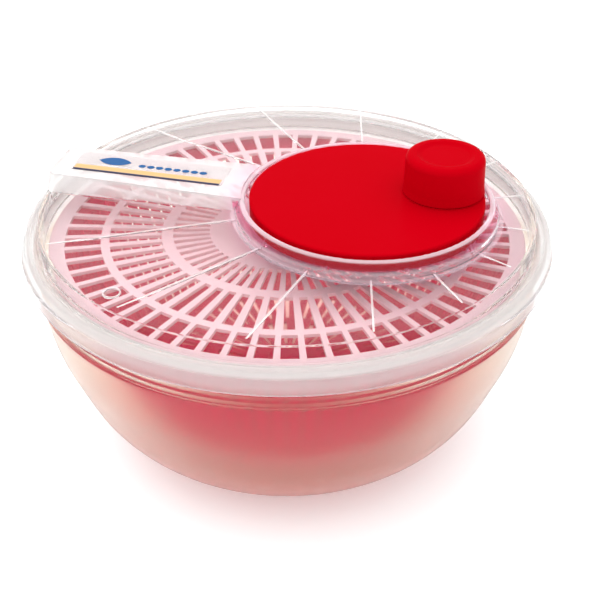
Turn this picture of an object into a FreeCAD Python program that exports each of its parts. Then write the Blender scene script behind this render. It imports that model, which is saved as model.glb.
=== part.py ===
import FreeCAD, Part
import math
import os

import Sketcher

# Salad spinner. Millimetres, +Z up. The origin is the centre of the bowl's foot on the table,
# the bowl, basket and pinion turn about Z, and +X points from there to the crank's own axis.
# Heights whose name ends in _level are measured from the table.

SIZES = {
    # bowl
    "foot_radius": 65.0,
    "foot_depth": 3.2,
    "bowl_wall": 1.8,
    "bowl_hip_radius": 97.0,
    "bowl_hip_level": 21.5,
    "bowl_shoulder_radius": 117.2,
    "bowl_shoulder_level": 72.0,
    "bowl_neck_radius": 118.9,
    "rim_radius": 121.6,
    "rim_level": 112.7,
    "bead_radius": 119.9,
    "post_level": 18.0,
    "pin_radius": 3.0,
    "pin_top_level": 28.0,
    # basket
    "basket_wall": 1.6,
    "basket_floor_level": 26.0,
    "basket_floor_radius": 75.5,
    "basket_waist_radius": 97.6,
    "basket_waist_level": 66.0,
    "basket_top_radius": 108.2,
    "basket_rim_radius": 111.0,
    "ring_sectors": 30,
    "hub_radius": 10.0,
    "bush_radius": 7.6,
    # basket cover
    "cover_level": 107.0,
    "cover_thickness": 1.6,
    "cover_radius": 112.6,
    "cover_lip_radius": 111.3,
    "cover_lip_level": 102.6,
    "socket_radius": 14.0,
    "socket_flats": 18.6,
    "dog_flats": 18.0,
    # lid
    "lid_wall": 1.8,
    "lid_radius": 125.0,
    "lid_skirt_level": 103.0,
    "shoulder_level": 114.8,
    "step_radius": 116.0,
    "step_level": 121.5,
    "crown_level": 125.6,
    "lid_rib_width": 0.9,
    "lid_rib_height": 0.7,
    "lid_ribs": 14,
    "collar_ribs": 11,
    "handle_level": 131.0,
    "handle_reach": 118.5,
    "handle_half_width": 17.8,
    "handle_root_half_width": 21.2,
    "handle_draft": 12.0,
    # turret and crank
    "eccentricity": 38.0,
    "collar_radius": 61.3,
    "collar_top_radius": 58.5,
    "collar_bore_radius": 56.3,
    "collar_level": 130.2,
    "well_level": 121.8,
    "disc_radius": 54.4,
    "disc_level": 131.0,
    "disc_thickness": 2.0,
    "disc_skirt_level": 122.8,
    "axle_radius": 5.0,
    "shaft_radius": 4.0,
    "running_gap": 0.06,
    # gears
    "gear_module": 2.0,
    "ring_teeth": 49,
    "pinion_teeth": 11,
    "gear_level": 123.4,
    "gear_width": 5.0,
    # knob
    "knob_throw": 35.8,
    "knob_bearing": 20.1,
    "knob_radius": 18.6,
    "knob_level": 150.0,
}

doc = FreeCAD.newDocument("salad_spinner")


class Size:
    """A driving dimension, or arithmetic on some: its value now, and the same as a cell formula."""

    def __init__(self, mm, formula):
        self.mm = float(mm)
        self.formula = formula

    def __add__(self, other):
        other = as_size(other)
        return Size(self.mm + other.mm, f"({self.formula} + {other.formula})")

    def __sub__(self, other):
        other = as_size(other)
        return Size(self.mm - other.mm, f"({self.formula} - {other.formula})")

    def __mul__(self, factor):
        factor = as_size(factor)
        return Size(self.mm * factor.mm, f"({self.formula} * {factor.formula})")

    __radd__ = __add__
    __rmul__ = __mul__

    def __rsub__(self, other):
        return as_size(other) - self

    def __neg__(self):
        return self * -1


def as_size(value):
    if isinstance(value, Size):
        return value
    return Size(value, f"({value:.6f})")


def make_sheet():
    """The spreadsheet of driving dimensions, and each of them by name."""
    sheet = doc.addObject("Spreadsheet::Sheet", "Sizes")
    for row, (name, value) in enumerate(SIZES.items(), start=1):
        sheet.set(f"A{row}", name)
        sheet.set(f"B{row}", str(value))
        sheet.setAlias(f"B{row}", name)
    doc.recompute()
    return {name: Size(getattr(sheet, name), f"Sizes.{name}") for name in SIZES}


S = make_sheet()
ECC = S["eccentricity"]
GAP = S["running_gap"]


def bind(item, **sizes):
    """Tie properties of an object to the driving dimensions."""
    for name, size in sizes.items():
        item.setExpression(name.replace("__", "."), as_size(size).formula)
    return item


def new_body(label):
    body = doc.addObject("PartDesign::Body", label)
    body.Label = label
    return body


def new_sketch(body, name, plane="XZ_Plane", **shift):
    """A sketch on one of the body's own origin planes, moved by shift (x, y or z) on that plane."""
    sketch = body.newObject("Sketcher::SketchObject", name)
    origin = next(item for item in body.Origin.OriginFeatures if item.Role == plane)
    sketch.AttachmentSupport = [(origin, "")]
    sketch.MapMode = "FlatFace"
    for axis, size in shift.items():
        sketch.setExpression(f"AttachmentOffset.Base.{axis}", as_size(size).formula)
    return sketch


def hold_point(sketch, geometry, end, x, y):
    """Hold a point of the sketch at (x, y), tied to the driving dimensions."""
    for kind, size, axis in (("DistanceX", x, -2), ("DistanceY", y, -1)):
        if size.mm == 0:
            sketch.addConstraint(Sketcher.Constraint("PointOnObject", geometry, end, axis))
            continue
        held = sketch.addConstraint(Sketcher.Constraint(kind, -1, 1, geometry, end, size.mm))
        sketch.setExpression(f"Constraints[{held}]", size.formula)


def draw_outline(sketch, corners):
    """A closed outline. A corner is (x, y), or (x, y, radius) where it is rounded."""
    places = [FreeCAD.Vector(as_size(c[0]).mm, as_size(c[1]).mm, 0) for c in corners]
    radii = [as_size(c[2]).mm if len(c) > 2 else 0 for c in corners]
    count = len(corners)
    ends = []
    for i, place in enumerate(places):
        before = (places[i - 1] - place).normalize()
        after = (places[(i + 1) % count] - place).normalize()
        half = before.getAngle(after) / 2
        back = radii[i] / math.tan(half) if radii[i] else 0
        ends.append((place + before * back, place + after * back, before, after, half))
    lines = []
    for i in range(count):
        line = Part.LineSegment(ends[i][1], ends[(i + 1) % count][0])
        lines.append(sketch.addGeometry(line, False))
    for i, (start, stop, before, after, half) in enumerate(ends):
        x, y = as_size(corners[i][0]), as_size(corners[i][1])
        arriving, leaving = lines[i - 1], lines[i]
        if not radii[i]:
            sketch.addConstraint(Sketcher.Constraint("Coincident", arriving, 2, leaving, 1))
            hold_point(sketch, leaving, 1, x, y)
            continue
        centre = places[i] + (before + after).normalize() * (radii[i] / math.sin(half))
        left_turn = before.cross(after).z < 0
        first, last = (start, stop) if left_turn else (stop, start)
        angles = [math.atan2((p - centre).y, (p - centre).x) for p in (first, last)]
        circle = Part.Circle(centre, FreeCAD.Vector(0, 0, 1), radii[i])
        arc = sketch.addGeometry(Part.ArcOfCircle(circle, angles[0], angles[1]), False)
        begin, finish = (1, 2) if left_turn else (2, 1)
        corner = sketch.addGeometry(Part.Point(places[i]), True)
        sketch.addConstraint(
            [
                Sketcher.Constraint("Tangent", arriving, 2, arc, begin),
                Sketcher.Constraint("Tangent", arc, finish, leaving, 1),
                Sketcher.Constraint("PointOnObject", corner, 1, arriving),
                Sketcher.Constraint("PointOnObject", corner, 1, leaving),
            ]
        )
        held = sketch.addConstraint(Sketcher.Constraint("Radius", arc, radii[i]))
        sketch.setExpression(f"Constraints[{held}]", as_size(corners[i][2]).formula)
        hold_point(sketch, corner, 1, x, y)


def inset(corners, thickness):
    """An open run of corners moved sideways, to its left, by thickness: a wall's other side."""
    places = [FreeCAD.Vector(as_size(c[0]).mm, as_size(c[1]).mm, 0) for c in corners]
    headings = [(b - a).normalize() for a, b in zip(places, places[1:])]
    normals = [FreeCAD.Vector(-h.y, h.x, 0) for h in headings]
    moved = []
    for i, corner in enumerate(corners):
        n1 = normals[max(i - 1, 0)]
        n2 = normals[min(i, len(normals) - 1)]
        push = (n1 + n2) * (1 / (1 + n1.dot(n2)))
        place = [corner[0] + thickness * push.x, corner[1] + thickness * push.y]
        if len(corner) > 2:
            turns_left = headings[i - 1].cross(headings[i]).z > 0
            place.append(corner[2] - thickness if turns_left else corner[2] + thickness)
        moved.append(tuple(place))
    return moved


def turned(body, name, corners, cut=False, angle=360, **shift):
    """Turn an outline, drawn as (radius, height), about its own vertical axis.

    Less than a whole turn is a sector centred on +X.
    """
    sketch = new_sketch(body, name + "_section", **shift)
    draw_outline(sketch, corners)
    kind = "PartDesign::Groove" if cut else "PartDesign::Revolution"
    feature = body.newObject(kind, name)
    feature.Profile = sketch
    feature.ReferenceAxis = (sketch, ["V_Axis"])
    feature.Angle = angle
    feature.Midplane = angle < 360
    body.Tip = feature
    return feature


def raised(body, name, corners, level, height, cut=False, draft=None, both_ways=False, **shift):
    """Raise an outline, or cut it out, from a level upwards or both ways about that level."""
    sketch = new_sketch(body, name + "_outline", "XY_Plane", z=level, **shift)
    if len(corners) == 1:
        draw_circle(sketch, corners[0])
    else:
        draw_outline(sketch, corners)
    feature = body.newObject("PartDesign::Pocket" if cut else "PartDesign::Pad", name)
    feature.Profile = sketch
    bind(feature, Length=height)
    feature.Midplane = both_ways
    feature.Reversed = cut and not both_ways
    if draft is not None:
        bind(feature, TaperAngle=draft)
    body.Tip = feature
    return feature


def draw_circle(sketch, radius):
    circle = Part.Circle(FreeCAD.Vector(0, 0, 0), FreeCAD.Vector(0, 0, 1), radius.mm)
    ring = sketch.addGeometry(circle, False)
    sketch.addConstraint(Sketcher.Constraint("Coincident", ring, 3, -1, 1))
    held = sketch.addConstraint(Sketcher.Constraint("Radius", ring, radius.mm))
    sketch.setExpression(f"Constraints[{held}]", radius.formula)


def repeated(body, feature, count):
    """Repeat a feature evenly round the whole turn."""
    pattern = body.newObject("PartDesign::PolarPattern", feature.Name + "_ring")
    pattern.Originals = [feature]
    pattern.Axis = (feature.Profile[0], ["N_Axis"])
    pattern.Angle = 360
    bind(pattern, Occurrences=count)
    body.Tip = pattern


def whole_ring(body, sector):
    """Repeat everything in the body so far, one sector of it, into the whole ring."""
    doc.recompute()
    pattern = body.newObject("PartDesign::PolarPattern", sector.Name + "_ring")
    pattern.Originals = []
    pattern.TransformMode = "Whole shape"
    pattern.Axis = (sector.Profile[0], ["V_Axis"])
    pattern.Angle = 360
    bind(pattern, Occurrences=S["ring_sectors"])
    body.Tip = pattern


def keep_seams(body):
    """Leave the seams between sectors in the faces: one face with hundreds of holes checks slowly."""
    for feature in body.Group:
        if hasattr(feature, "Refine"):
            feature.Refine = False


def radial_slots(body, name, reach, half_angle, centres, middle, height):
    """Radial slots of one sector, each a wedge half_angle either side of its own centre angle."""
    for number, centre in enumerate(centres, start=1):
        wedge = []
        for radius, side in ((reach[0], -1), (reach[1], -1), (reach[1], 1), (reach[0], 1)):
            angle = math.radians(centre + side * half_angle)
            wedge.append((as_size(radius) * math.cos(angle), as_size(radius) * math.sin(angle)))
        raised(body, f"{name}_{number}", wedge, middle, height, cut=True, both_ways=True)


def make_bowl():
    body = new_body("bowl")
    wall = S["bowl_wall"]
    outside = [
        (S["foot_radius"] + 1.5, as_size(2.2)),
        (S["bowl_hip_radius"], S["bowl_hip_level"], as_size(70)),
        (S["bowl_shoulder_radius"], S["bowl_shoulder_level"], as_size(90)),
        (S["bowl_neck_radius"], S["rim_level"] - 3),
    ]
    inside = inset(outside, wall)
    floor_top = S["foot_depth"] + wall
    rim = [
        (S["rim_radius"], S["rim_level"] - 3, 0.8),
        (S["rim_radius"], S["rim_level"], 0.8),
        (inside[3][0], S["rim_level"], 0.8),
    ]
    post = [
        (S["foot_radius"] + 2.6, floor_top, as_size(6)),
        (as_size(10.6), floor_top),
        (as_size(6), S["post_level"]),
        (S["pin_radius"], S["post_level"]),
        (S["pin_radius"], S["post_level"] - 8),
        (as_size(5.2), S["post_level"] - 8),
        (as_size(8.6), S["foot_depth"]),
        (S["foot_radius"] - 2.4, S["foot_depth"]),
        (S["foot_radius"] - 2.4, as_size(0)),
        (S["foot_radius"], as_size(0)),
    ]
    turned(body, "bowl_shell", outside + rim + [inside[2], inside[1]] + post)
    for number, below_rim in enumerate((15.7, 18.9, 20.6), start=1):
        level = S["rim_level"] - below_rim
        bead = [
            (S["bead_radius"] - 2, level - 1),
            (S["bead_radius"], level - 0.3),
            (S["bead_radius"], level + 0.3),
            (S["bead_radius"] - 2, level + 1),
        ]
        turned(body, f"bead_{number}", bead)
    return body


def make_pivot_pin():
    body = new_body("pivot_pin")
    pin = [
        (as_size(0), S["post_level"] - 8),
        (S["pin_radius"], S["post_level"] - 8),
        (S["pin_radius"], S["pin_top_level"] - 1, 0.8),
        (as_size(0), S["pin_top_level"]),
    ]
    turned(body, "pin", pin)
    return body


def make_pivot_bush():
    """The bush that stands on the pin: the basket's hub turns round it."""
    body = new_body("pivot_bush")
    bore = S["pin_radius"] + GAP
    bush = [
        (as_size(0), S["pin_top_level"] + 0.1),
        (bore, S["pin_top_level"] + 0.1),
        (bore, S["post_level"] + 0.8),
        (S["bush_radius"] + 1.9, S["post_level"] + 0.8),
        (S["bush_radius"] + 1.9, S["post_level"] + 2),
        (S["bush_radius"], S["post_level"] + 2),
        (S["bush_radius"], S["pin_top_level"] + 3, 0.8),
        (as_size(0), S["pin_top_level"] + 3),
    ]
    turned(body, "bush", bush)
    return body


def make_basket():
    body = new_body("basket")
    wall = S["basket_wall"]
    outside = [
        (S["hub_radius"] + 3, S["basket_floor_level"]),
        (S["basket_floor_radius"], S["basket_floor_level"], as_size(9)),
        (S["basket_waist_radius"], S["basket_waist_level"], as_size(110)),
        (S["basket_top_radius"], S["cover_level"] - 5),
    ]
    inside = inset(outside, wall)
    ledge = S["cover_level"] - S["cover_thickness"]
    rim = [
        (S["basket_rim_radius"], S["cover_level"] - 5, 0.5),
        (S["basket_rim_radius"], ledge, 0.5),
        (inside[3][0], ledge),
    ]
    hub_top = S["pin_top_level"] + 5
    hub = [
        (S["hub_radius"], S["basket_floor_level"] + wall),
        (S["hub_radius"], hub_top, as_size(2)),
        (as_size(0), hub_top),
        (as_size(0), S["pin_top_level"] + 3.1),
        (S["bush_radius"] + GAP, S["pin_top_level"] + 3.1),
        (S["bush_radius"] + GAP, S["post_level"] + 2.3),
        (S["hub_radius"], S["post_level"] + 2.3),
        (S["hub_radius"], S["basket_floor_level"]),
        (outside[0][0], S["basket_floor_level"]),
        inside[0],
    ]
    wall_and_floor = outside + rim + [inside[2], inside[1], inside[0]]
    sector = turned(body, "basket_sector", wall_and_floor, angle=360 / SIZES["ring_sectors"])
    low, high = S["basket_floor_level"] + 8, S["cover_level"] - 9
    radial_slots(body, "wall_slot", (70, 115), 0.65, (-4, 0, 4), (low + high) * 0.5, high - low)
    floor = S["basket_floor_level"] + wall * 0.5
    radial_slots(body, "inner_floor_slot", (18, 38), 2.2, (0,), floor, wall * 2)
    radial_slots(body, "outer_floor_slot", (42, 66), 1.15, (-3, 3), floor, wall * 2)
    whole_ring(body, sector)
    turned(body, "basket_hub", hub)
    cover_notches(body, "basket_notch", as_size(4.4), cut=True)
    keep_seams(body)
    return body


def cover_notches(body, name, half_width, cut):
    """The four places where the cover's tabs sit in the basket's rim: notches, or the tabs."""
    inner = S["basket_rim_radius"] - (2.3 if cut else 2.0)
    outer = S["basket_rim_radius"] + (2 if cut else 0.8)
    corners = [(inner, -half_width), (outer, -half_width), (outer, half_width), (inner, half_width)]
    base = S["cover_level"] - (6 if cut else 4.2)
    tab = raised(body, name, corners, base, as_size(8 if cut else 3.4), cut=cut)
    repeated(body, tab, as_size(4))


def make_basket_cover():
    body = new_body("basket_cover")
    top, base = S["cover_level"], S["cover_level"] - S["cover_thickness"]
    bore = S["socket_radius"]
    joint = bore + 4
    plate = [
        (joint, base),
        (S["cover_lip_radius"], base),
        (S["cover_lip_radius"], S["cover_lip_level"]),
        (S["cover_radius"], S["cover_lip_level"]),
        (S["cover_radius"], top, 0.8),
        (joint, top),
    ]
    sector = turned(body, "cover_sector", plate, angle=360 / SIZES["ring_sectors"])
    rings = (("inner", (37, 54.5), 1.55), ("middle", (60, 84.5), 1.75), ("outer", (88.5, 105.3), 2.2))
    for name, reach, half_angle in rings:
        middle = (base + top) * 0.5
        radial_slots(body, f"{name}_slot", reach, half_angle, (-3, 3), middle, as_size(4))
    whole_ring(body, sector)
    hub = [
        (bore, top - 9),
        (bore + 2.2, top - 9),
        (bore + 2.2, base),
        (joint, base),
        (joint, top),
        (bore + 2.2, top),
        (bore + 2.2, top + 3.5, 0.8),
        (bore, top + 3.5),
    ]
    turned(body, "cover_hub", hub)
    cover_notches(body, "cover_tab", as_size(4), cut=False)
    keep_seams(body)
    return body


def hexagon(name, flats, height, level):
    prism = doc.addObject("Part::Prism", name)
    prism.Polygon = 6
    bind(prism, Circumradius=flats * (1 / math.sqrt(3)), Height=height)
    bind(prism, Placement__Base__z=level)
    return prism


def cylinder(name, radius, height, level, x=0, y=0):
    round_bar = doc.addObject("Part::Cylinder", name)
    bind(round_bar, Radius=radius, Height=height, Placement__Base__z=level)
    bind(round_bar, Placement__Base__x=x, Placement__Base__y=y)
    return round_bar


def cut_away(name, base, tool):
    result = doc.addObject("Part::Cut", name)
    result.Base = base
    result.Tool = tool
    result.Label = name
    return result


def make_drive_socket():
    """The insert in the cover's hub, with the six-sided hole that the drive dog drops into."""
    base = S["cover_level"] - 9
    ring = cylinder("socket_ring", S["socket_radius"], as_size(12.5), base)
    hole = hexagon("socket_hole", S["socket_flats"], as_size(14.5), base - 1)
    return cut_away("drive_socket", ring, hole)


def make_lid_shell():
    body = new_body("lid_shell")
    wall = S["lid_wall"]
    shoulder, step = S["shoulder_level"], S["step_radius"]
    skirt = S["lid_radius"]
    section = [
        (as_size(0), S["crown_level"] - wall),
        (step - wall, S["step_level"] - wall),
        (step - wall, S["rim_level"] - 5),
        (step, S["rim_level"] - 5),
        (step, S["rim_level"] + 0.1),
        (S["rim_radius"] + 0.6, S["rim_level"] + 0.1, 0.8),
        (skirt - wall, S["rim_level"] - 2, 1.2),
        (skirt - wall - 0.4, S["lid_skirt_level"]),
        (skirt - 0.4, S["lid_skirt_level"], 0.5),
        (skirt, S["rim_level"] - 2, 3),
        (skirt - 2.6, shoulder - 0.3, 2.4),
        (step + 0.3, shoulder, 1),
        (step, S["step_level"], 0.6),
        (as_size(0), S["crown_level"]),
    ]
    turned(body, "lid_plate", section)
    return body


def add_handle(body):
    """The hollow grip along -X: a raised channel in the plate, closed at the rim by its round end."""
    wall = S["lid_wall"]
    tip, root = S["handle_reach"], as_size(12)

    def channel(inward):
        wide, root_wide = S["handle_half_width"] - inward, S["handle_root_half_width"] - inward
        rounding = 8 - inward
        return [
            (-root, -root_wide),
            (-root, root_wide),
            (inward - tip, wide, rounding),
            (inward - tip, -wide, rounding),
        ]

    base = S["shoulder_level"] - 0.4
    rise = S["handle_level"] - base
    raised(body, "handle", channel(as_size(0)), base, rise, draft=-S["handle_draft"])
    under = [
        (as_size(12), base - 4),
        (S["step_radius"] - wall, base - 4),
        (S["step_radius"] - wall, S["step_level"] - wall),
        (as_size(12), S["crown_level"] - wall - 0.4),
    ]
    turned(body, "handle_underside", under, cut=True)
    raised(body, "handle_hollow", channel(wall), base + 0.6, rise - wall - 0.6, cut=True,
           draft=-S["handle_draft"])


def add_turret(body):
    """The collar that the crank turns in, its floor, and the two bosses that carry the bushes."""
    collar, floor, wall = S["collar_radius"], S["well_level"], S["lid_wall"]
    opening = [
        (as_size(0), floor - 3),
        (collar - wall, floor - 3),
        (collar - wall, S["crown_level"] - 1.6),
        (S["collar_top_radius"] - 0.4, S["collar_level"] - 1.6),
        (S["collar_top_radius"] - 0.4, S["handle_level"] + 1),
        (as_size(0), S["handle_level"] + 1),
    ]
    turned(body, "turret_opening", opening, cut=True, x=ECC)
    boss = S["axle_radius"] + 2
    ring = [
        (boss, floor - 4.5),
        (boss + 2, floor - 4.5),
        (boss + 2, floor - wall),
        (collar, floor - wall),
        (collar, S["crown_level"] - 1),
        (S["collar_top_radius"], S["collar_level"], 0.8),
        (S["collar_bore_radius"], S["collar_level"], 0.8),
        (S["collar_bore_radius"], S["collar_level"] - 1.6),
        (collar - wall, S["crown_level"] - 1.6),
        (collar - wall, floor),
        (boss + 2, floor),
        (boss + 2, floor + 1.2),
        (boss, floor + 1.2),
    ]
    turned(body, "turret", ring, x=ECC)
    raised(body, "shaft_boss", [S["shaft_radius"] + 4], floor - 8.3, as_size(8.3))
    raised(body, "shaft_hole", [S["shaft_radius"] + 2], floor - 9, as_size(12), cut=True)


def radial_bars(name, turns, start, length, width, level, height):
    """Upright bars round the crank's axis, each from the start radius outward at its own turn."""
    bars = []
    for turn in turns:
        bar = doc.addObject("Part::Box", f"{name}_{len(bars)}")
        bind(bar, Length=length, Width=width, Height=height)
        cos, sin = math.cos(math.radians(turn)), math.sin(math.radians(turn))
        side = width * 0.5
        bar.Placement.Rotation = FreeCAD.Rotation(FreeCAD.Vector(0, 0, 1), turn)
        bind(
            bar,
            Placement__Base__x=ECC + start * cos + side * sin,
            Placement__Base__y=start * sin - side * cos,
            Placement__Base__z=level,
        )
        bars.append(bar)
    fan = doc.addObject("Part::Compound", name)
    fan.Links = bars
    return fan


def common(name, base, tool):
    result = doc.addObject("Part::Common", name)
    result.Base = base
    result.Tool = tool
    return result


def make_lid_ribs():
    """Low moulded ribs that fan out from the turret and follow the plate's slope."""
    fall = (S["crown_level"] - S["step_level"]).mm / S["step_radius"].mm
    reach = S["step_radius"] - 3
    layers = []
    for name, lift in (("rib_top", S["lid_rib_height"]), ("rib_root", as_size(-0.9))):
        cone = doc.addObject("Part::Cone", name)
        cone.Radius2 = 0
        bind(cone, Radius1=reach, Height=reach * fall)
        bind(cone, Placement__Base__z=S["crown_level"] - reach * fall + lift)
        layers.append(cone)
    layer = cut_away("rib_layer", *layers)
    turns = [180 + number * 360 / SIZES["lid_ribs"] for number in range(1, SIZES["lid_ribs"])]
    fan = radial_bars("rib_fan", turns, S["collar_radius"] - 0.4, reach * 2, S["lid_rib_width"],
                      S["step_level"] - 4, as_size(20))
    return common("lid_rib_set", fan, layer)


def make_collar_ribs():
    """Short upright ribs that stiffen the turret's sloping wall."""
    low, high = S["crown_level"] - 1, S["collar_level"] - 0.8
    envelope = doc.addObject("Part::Cone", "collar_envelope")
    bind(envelope, Radius1=S["collar_radius"] + 0.5, Radius2=S["collar_top_radius"] + 0.6, Height=high - low)
    bind(envelope, Placement__Base__x=ECC, Placement__Base__z=low)
    spacing = 360 / SIZES["collar_ribs"]
    turns = [265 + number * spacing for number in range(SIZES["collar_ribs"])]
    fan = radial_bars("collar_rib_fan", turns, S["collar_top_radius"] - 0.6, as_size(5), as_size(1.2),
                      low, high - low)
    return common("collar_rib_set", fan, envelope)


def make_lid():
    shell = make_lid_shell()
    add_handle(shell)
    add_turret(shell)
    mark = tube("gate_mark", as_size(4), as_size(3.2), S["step_level"] - 0.6, as_size(1.6), -51, -94)
    lid = doc.addObject("Part::MultiFuse", "lid")
    lid.Shapes = [shell, make_lid_ribs(), make_collar_ribs(), mark]
    lid.Label = "lid"
    return lid


def tube(name, outer, inner, level, height, x=0, y=0):
    solid = cylinder(name + "_solid", outer, height, level, x, y)
    hole = cylinder(name + "_hole", inner, height + 2, level - 1, x, y)
    return cut_away(name, solid, hole)


def make_handle_label():
    film = doc.addObject("Part::Box", "handle_label")
    film.Label = "handle_label"
    bind(film, Length=as_size(76), Width=as_size(19), Height=as_size(0.25))
    bind(film, Placement__Base__x=as_size(-106), Placement__Base__y=as_size(-8))
    bind(film, Placement__Base__z=S["handle_level"])
    return film


def flanged_bush(label, bore, outer, flange, low, high, flange_thickness, x=0):
    """A plain bush with its flange on top: low and high are the levels of its two ends."""
    body = new_body(label)
    section = [
        (bore, low),
        (outer, low),
        (outer, high - flange_thickness),
        (flange, high - flange_thickness),
        (flange, high),
        (bore, high),
    ]
    turned(body, label + "_bush", section, x=x)
    return body


def make_shaft_bush():
    outer = S["shaft_radius"] + 2
    low, high = S["well_level"] - 8.3, S["well_level"] + 0.8
    return flanged_bush(
        "shaft_bush", S["shaft_radius"] + GAP, outer, outer + 2, low, high, as_size(0.8)
    )


def make_axle_bush():
    outer = S["axle_radius"] + 2
    low, high = S["well_level"] - 4.5, S["well_level"] + 2.2
    return flanged_bush(
        "axle_bush", S["axle_radius"] + GAP, outer, outer + 2, low, high, as_size(1), x=ECC
    )


def make_drive_shaft():
    body = new_body("drive_shaft")
    low, high = S["well_level"] - 22, S["gear_level"] + S["gear_width"]
    pilot = as_size(1.4)
    shaft = [
        (pilot, low),
        (S["shaft_radius"], low),
        (S["shaft_radius"], high, 0.5),
        (as_size(0), high),
        (as_size(0), low + 12),
        (pilot, low + 12),
    ]
    turned(body, "shaft", shaft)
    return body


def make_drive_dog():
    low = S["well_level"] - 22
    prism = hexagon("dog_prism", S["dog_flats"], as_size(12.4), low)
    flange = cylinder("dog_flange", as_size(11.4), as_size(1.3), low + 12.2)
    whole = doc.addObject("Part::Fuse", "dog_blank")
    whole.Base = prism
    whole.Tool = flange
    bore = cylinder("dog_bore", S["shaft_radius"], as_size(20), low - 2)
    return cut_away("drive_dog", whole, bore)


def make_screw(label, head_radius, head_height, shank_radius, shank_length, seat_level, x=0):
    """A pan-head screw driven upwards, with its head's flat side at seat_level."""
    body = new_body(label)
    section = [
        (as_size(0), seat_level - head_height),
        (head_radius, seat_level - head_height, head_height * 0.45),
        (head_radius, seat_level),
        (shank_radius, seat_level),
        (shank_radius, seat_level + shank_length, 0.4),
        (as_size(0), seat_level + shank_length),
    ]
    turned(body, label + "_turned", section, x=x)
    width, depth = head_radius * 0.22, head_height * 0.5
    blade = [(-head_radius * 0.6, -width), (head_radius * 0.6, -width),
             (head_radius * 0.6, width), (-head_radius * 0.6, width)]
    for name, corners in (("slot", blade), ("cross_slot", [(y, x_) for x_, y in reversed(blade)])):
        raised(body, f"{label}_{name}", corners, seat_level - head_height, depth, cut=True, x=x)
    return body


def make_crank_disc():
    body = new_body("crank_disc")
    top, under = S["disc_level"], S["disc_level"] - S["disc_thickness"]
    edge, skirt = S["disc_radius"], S["disc_skirt_level"]
    pilot = as_size(1.6)
    hub_low, axle_low = S["well_level"] + 2.3, S["well_level"] - 4.8
    section = [
        (as_size(0), top),
        (as_size(0), axle_low + 9),
        (pilot, axle_low + 9),
        (pilot, axle_low),
        (S["axle_radius"], axle_low),
        (S["axle_radius"], hub_low),
        (S["axle_radius"] + 3.5, hub_low),
        (S["axle_radius"] + 3.5, under),
        (edge - 1.8, under),
        (edge - 1.9, skirt),
        (edge - 0.2, skirt),
        (edge, top, 1.2),
    ]
    turned(body, "disc", section, x=ECC)
    knob_x, knob_y = knob_place()
    raised(body, "knob_seat", [S["knob_radius"] + 0.6], top - 0.5, as_size(1.0), x=knob_x, y=knob_y)
    raised(body, "knob_boss", [as_size(7)], top - 0.5, as_size(5.5), x=knob_x, y=knob_y)
    raised(body, "knob_bore", [as_size(3.5)], top - 0.6, as_size(9), cut=True, x=knob_x, y=knob_y)
    return body


def knob_place():
    """The knob's axis: out from the crank's own axis, at the knob's bearing from +X."""
    bearing = math.radians(SIZES["knob_bearing"])
    return ECC + S["knob_throw"] * math.cos(bearing), S["knob_throw"] * math.sin(bearing)


def make_knob_spindle():
    """The split-headed stud pressed into the disc, which the knob snaps over."""
    body = new_body("knob_spindle")
    knob_x, knob_y = knob_place()
    foot, head = S["disc_level"] - 0.6, S["disc_level"] + 10.3
    section = [
        (as_size(0), foot),
        (as_size(3.5), foot),
        (as_size(3.5), head),
        (as_size(4.4), head),
        (as_size(3.3), head + 2.6, 0.6),
        (as_size(0), head + 2.6),
    ]
    turned(body, "spindle", section, x=knob_x, z=-knob_y)
    return body


def make_knob():
    body = new_body("knob")
    knob_x, knob_y = knob_place()
    wall, top, foot = as_size(1.8), S["knob_level"], S["disc_level"] + 0.9
    roof = top - 0.9
    outside = [
        (S["knob_radius"] + 0.4, foot),
        (S["knob_radius"], foot + 3, as_size(6)),
        (S["knob_radius"] - 0.4, top, as_size(3)),
        (as_size(13.4), top, as_size(1.5)),
        (as_size(11), roof, as_size(4)),
        (as_size(0), roof),
    ]
    inside = inset(outside, wall)
    hub_low, hub_step = S["disc_level"] + 5.3, S["disc_level"] + 10
    hub = [
        (as_size(0), roof - wall),
        (as_size(5.2), roof - wall),
        (as_size(5.2), hub_step),
        (as_size(3.5) + GAP, hub_step),
        (as_size(3.5) + GAP, hub_low),
        (as_size(6.6), hub_low),
        (as_size(6.6), roof - wall),
    ]
    turned(body, "knob_shell", outside + hub + [inside[2], inside[1], inside[0]], x=knob_x, z=-knob_y)
    return body


def involute_gear(teeth, module, tip, root, thickness, centre_angle):
    """A closed wire of involute teeth: one tooth is centred on centre_angle (radians)."""
    pitch = teeth * module / 2
    base = pitch * math.cos(math.radians(20))

    def spread(radius):
        angle = math.acos(min(1.0, base / radius))
        return math.tan(angle) - angle

    def half_tooth(radius):
        return thickness / (2 * pitch) + spread(pitch) - spread(max(radius, base))

    def at(radius, angle):
        return FreeCAD.Vector(radius * math.cos(angle), radius * math.sin(angle), 0)

    lowest = max(root, base)
    steps = [lowest + (tip - lowest) * i / 4 for i in range(5)]
    edges = []
    for tooth in range(teeth):
        centre = centre_angle + tooth * 2 * math.pi / teeth
        after = centre + 2 * math.pi / teeth
        rise = [at(r, centre - half_tooth(r)) for r in steps]
        fall = [at(r, centre + half_tooth(r)) for r in reversed(steps)]
        root_in, root_out = at(root, centre - half_tooth(root)), at(root, centre + half_tooth(root))
        next_root = at(root, after - half_tooth(root))
        if root < base:
            edges.append(Part.makeLine(root_in, rise[0]))
        edges.append(spline(rise))
        edges.append(Part.Arc(rise[-1], at(tip, centre), fall[0]).toShape())
        edges.append(spline(fall))
        if root < base:
            edges.append(Part.makeLine(fall[-1], root_out))
        edges.append(Part.Arc(root_out, at(root, (centre + after) / 2), next_root).toShape())
    return Part.Wire(edges)


def spline(points):
    curve = Part.BSplineCurve()
    curve.interpolate(points)
    return curve.toShape()


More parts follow.
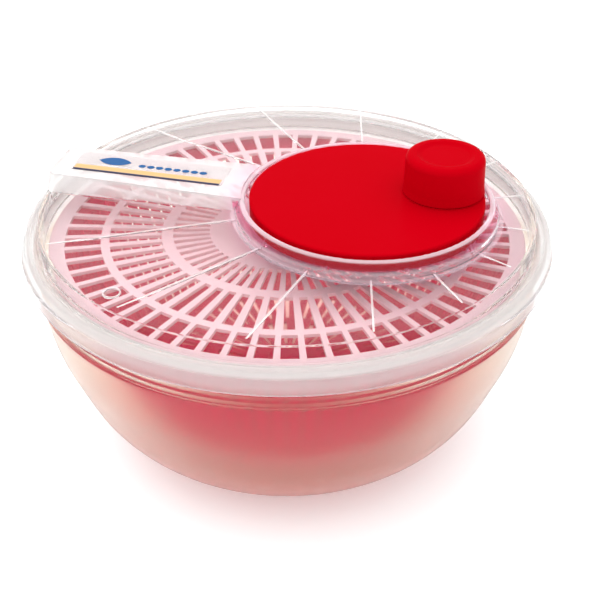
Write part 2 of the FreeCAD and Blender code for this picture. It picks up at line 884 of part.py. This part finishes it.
def gear_blank(wire, height):
    return Part.Face(wire).extrude(FreeCAD.Vector(0, 0, height))


def make_pinion():
    """Eleven teeth, pressed on the drive shaft."""
    module = S["gear_module"].mm
    thickness = math.pi * module / 2 - 0.3
    pitch = SIZES["pinion_teeth"] * module / 2
    wire = involute_gear(
        SIZES["pinion_teeth"], module, pitch + 1.6, pitch - 1.9, thickness, math.pi
    )
    solid = gear_blank(wire, S["gear_width"].mm)
    solid = solid.cut(Part.makeCylinder(S["shaft_radius"].mm, S["gear_width"].mm))
    pinion = doc.addObject("Part::Feature", "pinion")
    pinion.Label = "pinion"
    pinion.Shape = solid
    bind(pinion, Placement__Base__z=S["gear_level"])
    return pinion


def make_ring_gear():
    """The toothed ring inside the disc's skirt: its tooth spaces are cut as outside teeth."""
    module = S["gear_module"].mm
    height = S["disc_level"].mm - S["disc_thickness"].mm - S["gear_level"].mm
    space = math.pi * module / 2 + 0.3
    pitch = SIZES["ring_teeth"] * module / 2
    wire = involute_gear(SIZES["ring_teeth"], module, pitch + 2.0, pitch - 0.8, space, math.pi)
    rim = Part.makeCylinder(S["disc_radius"].mm - 1.9, height)
    ring = doc.addObject("Part::Feature", "ring_gear")
    ring.Label = "ring_gear"
    ring.Shape = rim.cut(gear_blank(wire, height))
    bind(ring, Placement__Base__x=ECC, Placement__Base__z=S["gear_level"])
    return ring


def make_washer(label, bore, outer, level, thickness, x=0):
    washer = tube(label, outer, bore, level, thickness, x)
    return washer


def make_all():
    well, gear = S["well_level"], S["gear_level"]
    return [
        make_bowl(),
        make_pivot_pin(),
        make_pivot_bush(),
        make_basket(),
        make_basket_cover(),
        make_drive_socket(),
        make_lid(),
        make_handle_label(),
        make_shaft_bush(),
        make_axle_bush(),
        make_drive_shaft(),
        make_pinion(),
        make_washer("pinion_washer", S["shaft_radius"] + GAP, as_size(7), gear - 0.6, as_size(0.5)),
        make_drive_dog(),
        make_screw("dog_screw", as_size(5), as_size(2.2), as_size(1.4), as_size(11), well - 22),
        make_crank_disc(),
        make_ring_gear(),
        make_washer("axle_washer", as_size(1.7), as_size(8.4), well - 6, as_size(1.2), ECC),
        make_screw(
            "axle_screw", as_size(4), as_size(2.2), as_size(1.6), as_size(9), well - 6, x=ECC
        ),
        make_knob_spindle(),
        make_knob(),
    ]


def check_and_export(nodes):
    """Stop on anything that failed to build, then write one STEP file per node."""
    doc.recompute()
    for item in doc.Objects:
        if "Invalid" in item.State or "Error" in item.State:
            raise RuntimeError(f"{item.Label} did not build: {item.State}")
    for node in nodes:
        if node.Shape.isNull() or not node.Shape.isValid():
            raise RuntimeError(f"{node.Label} has no valid shape")
    os.makedirs("parts", exist_ok=True)
    for node in nodes:
        node.Shape.exportStep(f"parts/{node.Label}.step")


check_and_export(make_all())
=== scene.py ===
import bmesh
import bpy
import math
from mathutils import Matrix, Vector


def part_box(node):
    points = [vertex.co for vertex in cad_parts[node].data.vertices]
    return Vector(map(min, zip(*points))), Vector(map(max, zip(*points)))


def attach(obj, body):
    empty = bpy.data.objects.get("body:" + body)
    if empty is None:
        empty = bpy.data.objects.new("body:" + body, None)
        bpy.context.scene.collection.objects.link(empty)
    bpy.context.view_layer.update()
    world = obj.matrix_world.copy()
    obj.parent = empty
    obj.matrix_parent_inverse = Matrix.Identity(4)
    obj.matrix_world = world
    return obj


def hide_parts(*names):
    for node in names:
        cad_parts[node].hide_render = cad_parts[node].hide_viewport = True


# The looks of a salad spinner: camera, light, floor, one material for each slot, and the printed
# film on the grip. Metres, in the CAD frame. A pair of numbers given to ranged, level_of or
# radius_of is where a soft edge starts and ends.

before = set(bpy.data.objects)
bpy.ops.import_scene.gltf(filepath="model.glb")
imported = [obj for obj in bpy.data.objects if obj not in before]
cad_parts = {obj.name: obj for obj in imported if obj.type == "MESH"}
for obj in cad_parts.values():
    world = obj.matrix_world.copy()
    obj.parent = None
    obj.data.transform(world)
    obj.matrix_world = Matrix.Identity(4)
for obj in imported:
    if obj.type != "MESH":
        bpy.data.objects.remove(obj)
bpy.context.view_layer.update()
scene = bpy.context.scene
scene.view_settings.view_transform = "Standard"
scene.cycles.max_bounces = 256
scene.cycles.transmission_bounces = 256
scene.cycles.glossy_bounces = 256
scene.cycles.diffuse_bounces = 12


def wire(tree, value, socket):
    """Joins a node's output to a socket, or sets the socket to a plain value."""
    if isinstance(value, bpy.types.NodeSocket):
        tree.links.new(value, socket)
    else:
        socket.default_value = value


def add_maths(tree, operation, *values):
    node = tree.nodes.new("ShaderNodeMath")
    node.operation = operation
    for value, socket in zip(values, node.inputs):
        wire(tree, value, socket)
    return node.outputs[0]


# ---------------------------------------------------------------- camera, light and floor

CAMERA_PLACE = Vector((0.12106, -0.46390, 0.38058))
CAMERA_LOOK = Vector((-0.20110, 0.81238, -0.54735))
LENS = 69.0
SENSOR_WIDTH = 36.0
TENT_TOP = (-0.25, 0.10, 0.95)
TENT_FOCUS = 3.0
TENT_PEAK = 1.4
TENT_WALL = 1.15
FLOOR_HALF_WIDTH = 3.0
FLOOR_LEVEL = -0.0002
FLOOR_COLOUR = (0.86, 0.95, 0.945, 1)
FLOOR_GLOW = 0.25
FLOOR_ROUGHNESS = 0.9
FLOOR_SPECULAR = 0.1


def make_camera():
    data = bpy.data.cameras.new("camera")
    data.lens = LENS
    data.sensor_width = SENSOR_WIDTH
    data.clip_start = 0.01
    camera = bpy.data.objects.new("camera", data)
    camera.location = CAMERA_PLACE
    camera.rotation_mode = "QUATERNION"
    camera.rotation_quaternion = CAMERA_LOOK.to_track_quat("-Z", "Y")
    scene.collection.objects.link(camera)
    scene.camera = camera


def make_light():
    """A white tent, brightest nearly overhead, a little to the left and behind."""
    world = bpy.data.worlds.new("studio")
    scene.world = world
    world.use_nodes = True
    tree = world.node_tree
    background = tree.nodes["Background"]
    background.inputs["Color"].default_value = (1, 1, 1, 1)
    place = tree.nodes.new("ShaderNodeTexCoord")
    facing = tree.nodes.new("ShaderNodeVectorMath")
    facing.operation = "DOT_PRODUCT"
    wire(tree, place.outputs["Generated"], facing.inputs[0])
    wire(tree, Vector(TENT_TOP).normalized(), facing.inputs[1])
    lobe = add_maths(tree, "MAXIMUM", facing.outputs["Value"], 0.0)
    lobe = add_maths(tree, "POWER", lobe, TENT_FOCUS)
    strength = add_maths(tree, "MULTIPLY_ADD", lobe, TENT_PEAK, TENT_WALL)
    wire(tree, strength, background.inputs["Strength"])


def make_floor():
    """A pale floor that glows a little, faintly cyan against the pink of the bowl's shadow."""
    mesh = bpy.data.meshes.new("floor")
    half = FLOOR_HALF_WIDTH
    corners = [(-half, -half, 0), (half, -half, 0), (half, half, 0), (-half, half, 0)]
    mesh.from_pydata(corners, [], [(0, 1, 2, 3)])
    floor = bpy.data.objects.new("floor", mesh)
    floor.location.z = FLOOR_LEVEL
    scene.collection.objects.link(floor)
    mat = bpy.data.materials.new("floor")
    mat.use_nodes = True
    shader = mat.node_tree.nodes["Principled BSDF"]
    shader.inputs["Base Color"].default_value = FLOOR_COLOUR
    shader.inputs["Emission Color"].default_value = (1, 1, 1, 1)
    shader.inputs["Emission Strength"].default_value = FLOOR_GLOW
    shader.inputs["Roughness"].default_value = FLOOR_ROUGHNESS
    shader.inputs["Specular IOR Level"].default_value = FLOOR_SPECULAR
    mesh.materials.append(mat)


make_camera()
make_light()
make_floor()

# ---------------------------------------------------------------- moulded plastics

# Above a roughness of 0.274 the renderer's denoiser treats a surface as matt. A range that crosses
# that value comes out flecked, so each range here stays on one side of it.

MELT_FLOW = 26.0
SKIN_GRAIN = 300.0
SKIN_DEPTH = 0.0000006
SKIN_STRENGTH = 0.6


class Tree:
    """A material's nodes, with short ways to add and join them."""

    def __init__(self, name):
        self.material = bpy.data.materials.new("look_" + name)
        self.material.use_nodes = True
        self.nodes = self.material.node_tree.nodes
        self.links = self.material.node_tree.links
        self.shader = self.nodes["Principled BSDF"]
        self.place = self.nodes.new("ShaderNodeTexCoord").outputs["Object"]

    def add(self, kind, inputs=(), **settings):
        node = self.nodes.new(kind)
        for key, value in settings.items():
            setattr(node, key, value)
        for key, value in dict(inputs).items():
            wire(self, value, node.inputs[key])
        return node

    def shade(self, name, value):
        """Gives one of the shader's sockets a value or a node's output."""
        wire(self, value, self.shader.inputs[name])

    def colour(self):
        """What the shader's colour is joined to so far."""
        return self.shader.inputs["Base Color"].links[0].from_socket

    def maths(self, operation, *values):
        return add_maths(self, operation, *values)

    def scaled(self, scale):
        return self.add("ShaderNodeMapping", {0: self.place, "Scale": scale}).outputs[0]

    def noise(self, scale, detail=3.0, vector=None):
        inputs = {"Vector": vector or self.place, "Scale": scale, "Detail": detail}
        return self.add("ShaderNodeTexNoise", inputs).outputs["Fac"]

    def ranged(self, value, low, high, source=(0.3, 0.7)):
        """The source's two values become low and high. Noise lies mostly within 0.3 and 0.7."""
        inputs = {
            "Value": value,
            "From Min": source[0],
            "From Max": source[1],
            "To Min": low,
            "To Max": high,
        }
        return self.add("ShaderNodeMapRange", inputs).outputs[0]

    def mixed(self, share, first, second):
        node = self.add("ShaderNodeMix", data_type="RGBA")
        wire(self, share, node.inputs["Factor"])
        wire(self, first, node.inputs[6])
        wire(self, second, node.inputs[7])
        return node.outputs[2]


def moulded(name, light, deep, roughness, clear=0.0, ior=1.49):
    """Moulded plastic: its colour drifts as the melt flowed, its gloss varies, and it has a skin."""
    tree = Tree(name)
    drift = tree.ranged(tree.noise(MELT_FLOW), 0.0, 1.0)
    tree.shade("Base Color", tree.mixed(drift, (*light, 1), (*deep, 1)))
    gloss = tree.ranged(tree.noise(MELT_FLOW * 5, 4.0), roughness[0], roughness[1])
    tree.shade("Roughness", gloss)
    skin = {"Height": tree.noise(SKIN_GRAIN, 2.0), "Strength": SKIN_STRENGTH, "Distance": SKIN_DEPTH}
    tree.shade("Normal", tree.add("ShaderNodeBump", skin).outputs[0])
    tree.shade("IOR", ior)
    tree.shade("Transmission Weight", clear)
    return tree


def steel(name):
    """Brushed steel, its grain along the screws."""
    tree = Tree(name)
    brushed = tree.noise(900.0, 3.0, tree.scaled((1.0, 1.0, 0.06)))
    share = tree.ranged(brushed, 0.0, 1.0)
    tree.shade("Base Color", tree.mixed(share, (0.52, 0.52, 0.54, 1), (0.70, 0.70, 0.71, 1)))
    tree.shade("Roughness", tree.ranged(brushed, 0.28, 0.42))
    tree.shade("Metallic", 1.0)
    return tree


def level_of(tree, low, high):
    """0 at one height and 1 at another, in metres from the table."""
    split = tree.add("ShaderNodeSeparateXYZ", {0: tree.place})
    return tree.ranged(split.outputs["Z"], 0.0, 1.0, (low, high))


def radius_of(tree, low, high, axis=(0.0, 0.0, 0.0)):
    """0 at one radius about an upright axis and 1 at another, in metres."""
    place = tree.add("ShaderNodeVectorMath", {0: tree.place, 1: axis}, operation="SUBTRACT")
    flat = {0: place.outputs[0], 1: (1.0, 1.0, 0.0)}
    flat = tree.add("ShaderNodeVectorMath", flat, operation="MULTIPLY")
    length = tree.add("ShaderNodeVectorMath", {0: flat.outputs[0]}, operation="LENGTH")
    return tree.ranged(length.outputs["Value"], 0.0, 1.0, (low, high))


BOWL_FOOT_GLOW_LEVELS = (0.045, 0.008)
BOWL_FOOT_PAINTED_GLOW = (1.0, 0.52, 0.48, 1)
BOWL_RIM_LEVELS = (0.099, 0.103)
BOWL_RIM_TINT = (0.95, 0.92, 0.91, 1)
BOWL_CLEAR, BOWL_RIM_CLEAR = 0.975, 0.72


def bowl_plastic():
    """Natural polypropylene: painted pink-red towards the foot for the basket's red light glowing in it,
    and milkier in the thick rim.
    """
    light, deep = (0.90, 0.80, 0.715), (0.89, 0.78, 0.695)
    tree = moulded("milky_plastic", light, deep, (0.28, 0.32), clear=0.98, ior=1.2)
    # painted glow: the red basket's light tinted into the foot, full below 8 mm and gone by 45 mm
    painted_foot_glow = tree.mixed(level_of(tree, *BOWL_FOOT_GLOW_LEVELS), tree.colour(), BOWL_FOOT_PAINTED_GLOW)
    rim = level_of(tree, *BOWL_RIM_LEVELS)
    tree.shade("Base Color", tree.mixed(rim, painted_foot_glow, BOWL_RIM_TINT))
    tree.shade("Transmission Weight", tree.ranged(rim, BOWL_CLEAR, BOWL_RIM_CLEAR, (0.0, 1.0)))
    return tree


LID_CROWN = 0.1256
LID_STEP = 0.1215
LID_STEP_RADIUS = 0.116
LID_RISE = (0.0001, 0.0004)
LID_RIM_RADII = (0.1180, 0.1212)
LID_SKIRT_LEVELS = (0.1122, 0.1104)
LID_CLEAR, LID_RIM_CLEAR, LID_SKIRT_EXTRA = 0.975, 0.62, 0.20
LID_STANDING_CLEAR = 0.62
LID_RIM_TINT = (0.785, 0.755, 0.745, 1)
LID_SKIRT_TINT = (0.80, 0.73, 0.735, 1)

TURRET_AXIS = (0.038, 0.0, 0.0)
COLLAR_RADII = (0.0618, 0.0622)
COLLAR_EDGE_LEVELS = (0.1292, 0.1298)
COLLAR_RED_GLOW_FOOT = (0.1258, 0.1264)
COLLAR_RED_GLOW_TOP = (0.1286, 0.1292)
COLLAR_PAINTED_RED_GLOW = (0.97, 0.42, 0.60, 1)
COLLAR_FILLET_INNER = (0.0600, 0.0608)
COLLAR_FILLET_OUTER = (0.0636, 0.0626)
COLLAR_FILLET_SHARE = 0.6
COLLAR_PINK_GLOW_RADII = (0.0690, 0.0620)
COLLAR_PAINTED_PINK_GLOW = (0.96, 0.84, 0.90, 1)


def lid_plastic():
    """Clear polystyrene: satin at the rim, milky where the grip, ribs and collar's edge stand up, with a
    painted red glow on the collar's wall and a painted pink glow round its foot.
    """
    light, deep = (0.955, 0.94, 0.935), (0.945, 0.93, 0.925)
    tree = moulded("clear_plastic", light, deep, (0.05, 0.09), clear=0.97, ior=1.15)
    maths = tree.maths
    height = tree.add("ShaderNodeSeparateXYZ", {0: tree.place}).outputs["Z"]

    # where something stands up from the sloping plate, outside the turret or at the collar's edge
    slope = radius_of(tree, 0.0, LID_STEP_RADIUS)
    plate = tree.ranged(slope, LID_CROWN, LID_STEP, (0.0, 1.0))
    raised = tree.ranged(maths("SUBTRACT", height, plate), 0.0, 1.0, LID_RISE)
    from_turret = radius_of(tree, 0.0, 1.0, TURRET_AXIS)
    turret = tree.ranged(from_turret, 1.0, 0.0, COLLAR_RADII)
    edge = tree.ranged(height, 0.0, 1.0, COLLAR_EDGE_LEVELS)
    stands = maths("MULTIPLY", raised, maths("MAXIMUM", maths("SUBTRACT", 1.0, turret), edge))
    inner = radius_of(tree, *COLLAR_FILLET_INNER, TURRET_AXIS)
    outer = radius_of(tree, *COLLAR_FILLET_OUTER, TURRET_AXIS)
    fillet = maths("MULTIPLY", maths("MULTIPLY", inner, outer), COLLAR_FILLET_SHARE)
    stands = maths("MAXIMUM", stands, fillet)

    rim = radius_of(tree, *LID_RIM_RADII)
    skirt = maths("MULTIPLY", rim, level_of(tree, *LID_SKIRT_LEVELS))
    clear = tree.ranged(rim, LID_CLEAR, LID_RIM_CLEAR, (0.0, 1.0))
    clear = maths("ADD", clear, maths("MULTIPLY", skirt, LID_SKIRT_EXTRA))
    share = maths("MULTIPLY", clear, tree.ranged(stands, 1.0, LID_STANDING_CLEAR, (0.0, 1.0)))
    tree.shade("Transmission Weight", share)

    colour = tree.mixed(rim, tree.colour(), LID_RIM_TINT)
    colour = tree.mixed(skirt, colour, LID_SKIRT_TINT)
    # painted glow: a pink ring on the plate round the collar's foot, for the red disc's light falling there
    pink_glow_ring = radius_of(tree, *COLLAR_PINK_GLOW_RADII, TURRET_AXIS)
    colour = tree.mixed(pink_glow_ring, colour, COLLAR_PAINTED_PINK_GLOW)
    # painted glow: the collar's wall is tinted crimson all round for the red disc's skirt showing through
    # it and the red light it carries
    painted_red_glow = maths("MULTIPLY", turret, tree.ranged(height, 0.0, 1.0, COLLAR_RED_GLOW_FOOT))
    painted_red_glow = maths("MULTIPLY", painted_red_glow, tree.ranged(height, 1.0, 0.0, COLLAR_RED_GLOW_TOP))
    tree.shade("Base Color", tree.mixed(painted_red_glow, colour, COLLAR_PAINTED_RED_GLOW))
    return tree


MATERIALS = {
    "milky_plastic": bowl_plastic(),
    "clear_plastic": lid_plastic(),
    "red_translucent": moulded(
        "red_translucent", (0.87, 0.004, 0.13), (0.83, 0.003, 0.11), (0.28, 0.38), clear=0.2, ior=1.15
    ),
    "natural_plastic": moulded(
        "natural_plastic", (0.99, 0.72, 0.77), (0.98, 0.69, 0.75), (0.28, 0.36), clear=0.2, ior=1.25
    ),
    "red_plastic": moulded("red_plastic", (0.435, 0.0, 0.005), (0.425, 0.0, 0.004), (0.28, 0.36)),
    "acetal": moulded("acetal", (0.86, 0.85, 0.81), (0.80, 0.79, 0.75), (0.3, 0.42)),
    "screw_steel": steel("screw_steel"),
}
MATERIALS["red_plastic"].shade("Specular IOR Level", 0.002)


# ---------------------------------------------------------------- the handle's label

LABEL_CLEARANCE = 0.00005
LABEL_CORNER_RADIUS = 0.0012
LABEL_CORNER_STEPS = 8

FILM_CLEAR = 0.93
FILM_COLOUR = (0.97, 0.95, 0.955, 1)
NAVY = (0.02, 0.018, 0.05, 1)
BLUE = (0.002, 0.075, 0.24, 1)
AMBER = (0.66, 0.40, 0.17, 1)
LAVENDER = (0.50, 0.44, 0.62, 1)

PRINT_EDGE = 0.00015
STRIPES_ALONG = (-0.1045, -0.0310)
AMBER_ACROSS, AMBER_EDGE = (-0.0064, -0.0022), 0.0004
LAVENDER_ACROSS, LAVENDER_EDGE, LAVENDER_STRENGTH = (-0.0112, -0.0082), 0.0006, 0.35
NAVY_ACROSS = (-0.0084, -0.0064)
BIG_LEAF_CENTRE, BIG_LEAF_SIZE = (-0.0870, 0.0040), (0.0165, 0.0078)
SMALL_LEAF_PITCH, SMALL_LEAF_ACROSS, SMALL_LEAF_SIZE = 0.0044, 0.0022, (0.0039, 0.0030)
LEAF_ROW_ALONG, LEAF_ROW_ACROSS = (-0.0748, -0.0396), (-0.0005, 0.0049)


def rounded_plate(name, low, high, level, thickness, radius):
    """A flat plate with round corners."""
    outline = []
    for cx, cy, start in (
        (high.x - radius, high.y - radius, 0),
        (low.x + radius, high.y - radius, 90),
        (low.x + radius, low.y + radius, 180),
        (high.x - radius, low.y + radius, 270),
    ):
        for step in range(LABEL_CORNER_STEPS + 1):
            turn = math.radians(start + 90 * step / LABEL_CORNER_STEPS)
            outline.append((cx + radius * math.cos(turn), cy + radius * math.sin(turn)))
    mesh = bmesh.new()
    face = mesh.faces.new([mesh.verts.new((x, y, level)) for x, y in outline])
    grown = bmesh.ops.extrude_face_region(mesh, geom=[face])
    raised = [item for item in grown["geom"] if isinstance(item, bmesh.types.BMVert)]
    bmesh.ops.translate(mesh, verts=raised, vec=(0, 0, thickness))
    bmesh.ops.recalc_face_normals(mesh, faces=mesh.faces)
    data = bpy.data.meshes.new(name)
    mesh.to_mesh(data)
    mesh.free()
    plate = bpy.data.objects.new(name, data)
    scene.collection.objects.link(plate)
    return plate


def label_film():
    """Clear film with printed leaves and three stripes: none of it is lettering."""
    tree = Tree("label_film")
    maths = tree.maths
    split = tree.add("ShaderNodeSeparateXYZ", {0: tree.place})
    along, across = split.outputs["X"], split.outputs["Y"]

    def soft(value, ends, edge):
        """1 between two places and 0 outside them."""
        low, high = ends
        rising = tree.ranged(value, 0.0, 1.0, (low - edge, low + edge))
        falling = tree.ranged(value, 1.0, 0.0, (high - edge, high + edge))
        return maths("MULTIPLY", rising, falling)

    def band(ends_along, ends_across, edge=PRINT_EDGE):
        return maths("MULTIPLY", soft(along, ends_along, edge), soft(across, ends_across, edge))

    def leaf(shift, centre_across, size):
        """A pointed leaf, the overlap of two circles. Shift is each point's place along from its middle."""
        length, width = size
        radius = (length * length + width * width) / (4 * width)
        offset = radius - width / 2
        inside = []
        for side in (-1, 1):
            rise = maths("SUBTRACT", across, centre_across + side * offset)
            square = maths("ADD", maths("MULTIPLY", shift, shift), maths("MULTIPLY", rise, rise))
            inside.append(maths("LESS_THAN", maths("SQRT", square), radius))
        return maths("MULTIPLY", inside[0], inside[1])

    big_leaf = leaf(maths("SUBTRACT", along, BIG_LEAF_CENTRE[0]), BIG_LEAF_CENTRE[1], BIG_LEAF_SIZE)
    in_row = maths("WRAP", along, SMALL_LEAF_PITCH, 0.0)
    from_middle = maths("SUBTRACT", in_row, SMALL_LEAF_PITCH / 2)
    small_leaves = leaf(from_middle, SMALL_LEAF_ACROSS, SMALL_LEAF_SIZE)
    row = band(LEAF_ROW_ALONG, LEAF_ROW_ACROSS)
    prints = (
        (band(STRIPES_ALONG, AMBER_ACROSS, AMBER_EDGE), AMBER, 1.0),
        (band(STRIPES_ALONG, LAVENDER_ACROSS, LAVENDER_EDGE), LAVENDER, LAVENDER_STRENGTH),
        (band(STRIPES_ALONG, NAVY_ACROSS), NAVY, 1.0),
        (big_leaf, BLUE, 1.0),
        (maths("MULTIPLY", small_leaves, row), BLUE, 1.0),
    )
    colour, cover = FILM_COLOUR, 0.0
    for mask, ink, strength in prints:
        share = maths("MULTIPLY", mask, strength)
        colour = tree.mixed(share, colour, ink)
        cover = maths("MAXIMUM", share, cover)
    tree.shade("Base Color", colour)
    printed = maths("MULTIPLY", cover, FILM_CLEAR)
    tree.shade("Transmission Weight", maths("SUBTRACT", FILM_CLEAR, printed))
    tree.shade("Roughness", tree.ranged(tree.noise(300.0, 3.0), 0.12, 0.2))
    tree.shade("IOR", 1.2)
    return tree


def make_label():
    low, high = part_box("handle_label")
    level = low.z + LABEL_CLEARANCE
    thickness = high.z - low.z - LABEL_CLEARANCE
    plate = rounded_plate("handle_label_film", low, high, level, thickness, LABEL_CORNER_RADIUS)
    plate.data.materials.append(MATERIALS["label_film"].material)
    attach(plate, "lid_body")
    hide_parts("handle_label")


MATERIALS["label_film"] = label_film()


def dress_nodes():
    """Gives each CAD node the material of its slot."""
    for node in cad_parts.values():
        for place in node.material_slots:
            place.material = MATERIALS[place.material.name].material


dress_nodes()
make_label()
